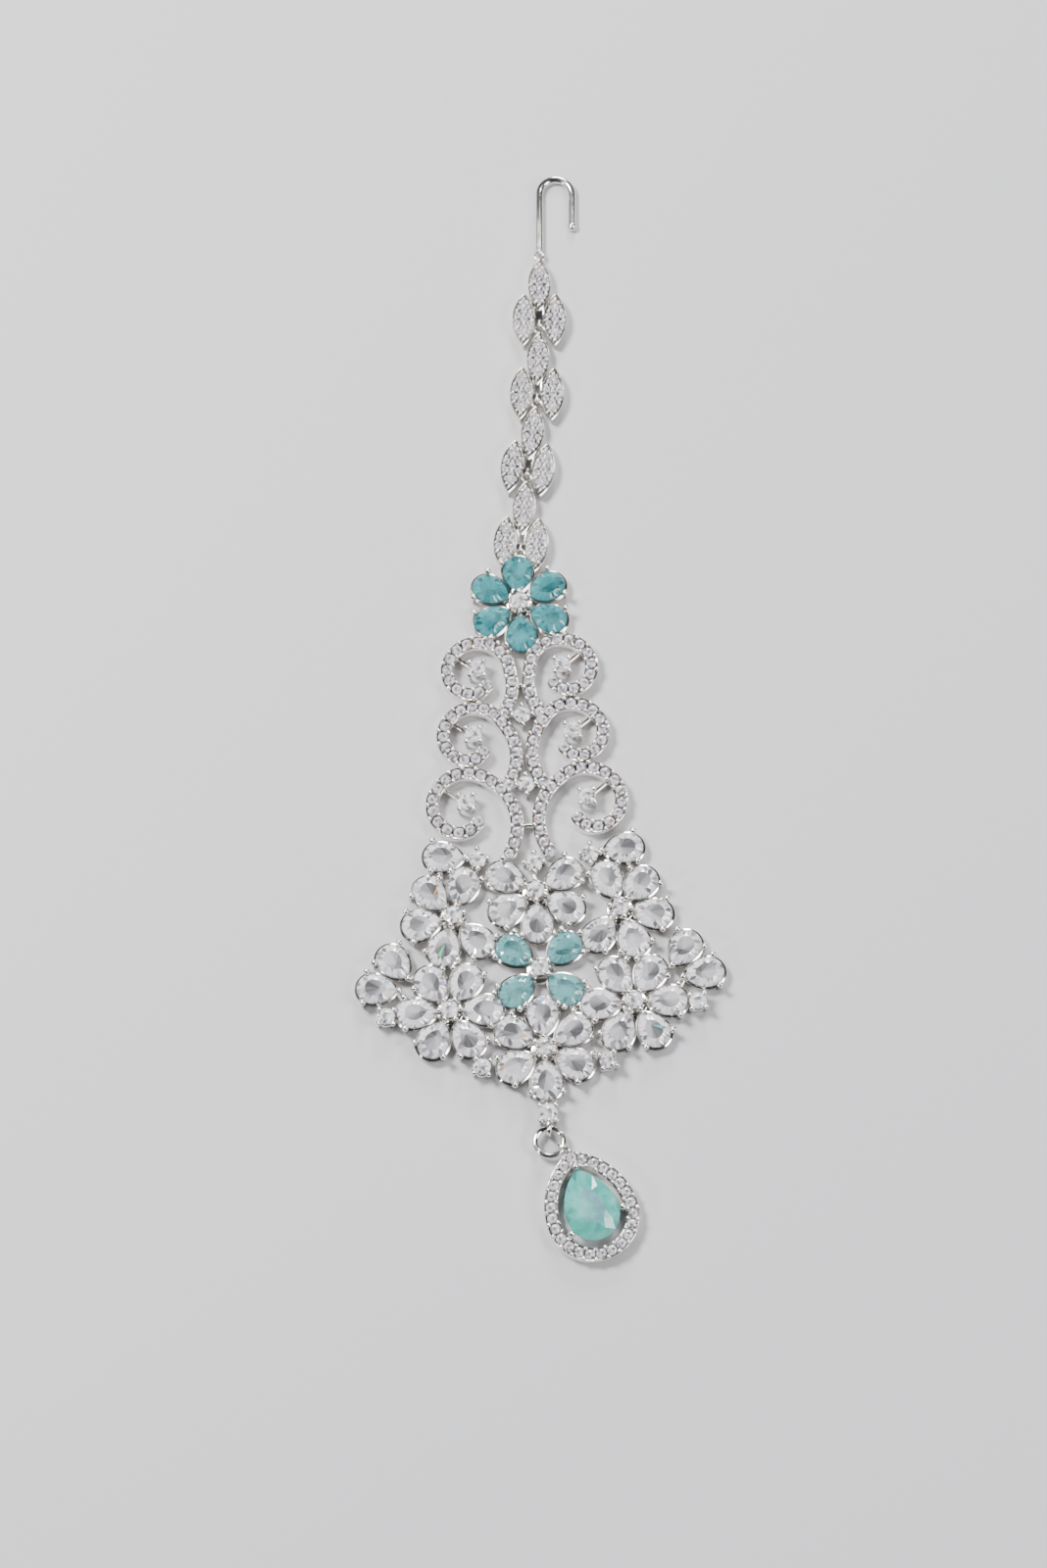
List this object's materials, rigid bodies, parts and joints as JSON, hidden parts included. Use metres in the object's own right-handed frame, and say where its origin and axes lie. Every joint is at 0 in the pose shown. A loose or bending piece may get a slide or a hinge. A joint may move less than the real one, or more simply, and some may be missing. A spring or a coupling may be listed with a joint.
{
  "type": "maang tikka",
  "caption": "Forehead pendant of bright silver-coloured metal: a chain of leaf links, a flower, a panel of scrolls, a fan of pear stones in flowers, and a pear drop in a halo.",
  "frame": {"origin": "under the middle of the fan's four-petalled flower, on the plane that the back lies on", "axes": "+Y along the piece toward the hook, +Z out of the front, +X across it to the right"},
  "size_m": [0.0492, 0.1562, 0.0035],
  "materials": {
    "bright_silver": "polished",
    "clear_stone": "faceted",
    "aqua_stone": "faceted, slightly milky"
  },
  "bodies": {
    "root": {"fan_setting": "bright_silver", "scroll_panel": "bright_silver", "flower_setting": "bright_silver", "leaf_link_1": "bright_silver", "leaf_link_2": "bright_silver", "leaf_link_3": "bright_silver", "leaf_link_4": "bright_silver", "hook": "bright_silver", "drop_ring": "bright_silver", "halo": "bright_silver", "petal_upper_1": "clear_stone", "petal_upper_2": "clear_stone", "petal_upper_3": "clear_stone", "petal_upper_4": "clear_stone", "petal_upper_5": "clear_stone", "petal_lower_1": "clear_stone", "petal_lower_2": "clear_stone", "petal_lower_3": "clear_stone", "petal_lower_4": "clear_stone", "petal_lower_5": "clear_stone", "petal_lower_6": "clear_stone", "petal_left_1": "clear_stone", "petal_left_2": "clear_stone", "petal_left_3": "clear_stone", "petal_left_4": "clear_stone", "petal_left_5": "clear_stone", "petal_right_1": "clear_stone", "petal_right_2": "clear_stone", "petal_right_3": "clear_stone", "petal_right_4": "clear_stone", "petal_right_5": "clear_stone", "petal_lower_left_1": "clear_stone", "petal_lower_left_2": "clear_stone", "petal_lower_left_3": "clear_stone", "petal_lower_left_4": "clear_stone", "petal_lower_left_5": "clear_stone", "petal_lower_left_6": "clear_stone", "petal_lower_right_1": "clear_stone", "petal_lower_right_2": "clear_stone", "petal_lower_right_3": "clear_stone", "petal_lower_right_4": "clear_stone", "petal_lower_right_5": "clear_stone", "petal_lower_right_6": "clear_stone", "pear_left_shoulder": "clear_stone", "pear_left_side": "clear_stone", "pear_left_corner": "clear_stone", "pear_right_shoulder": "clear_stone", "pear_right_side": "clear_stone", "pear_right_corner": "clear_stone", "petal_heart_1": "aqua_stone", "petal_heart_2": "aqua_stone", "petal_heart_3": "aqua_stone", "petal_heart_4": "aqua_stone", "petal_top_1": "aqua_stone", "petal_top_2": "aqua_stone", "petal_top_3": "aqua_stone", "petal_top_4": "aqua_stone", "petal_top_5": "aqua_stone", "petal_top_6": "aqua_stone", "drop_stone": "aqua_stone"}
  },
  "joints": []
}
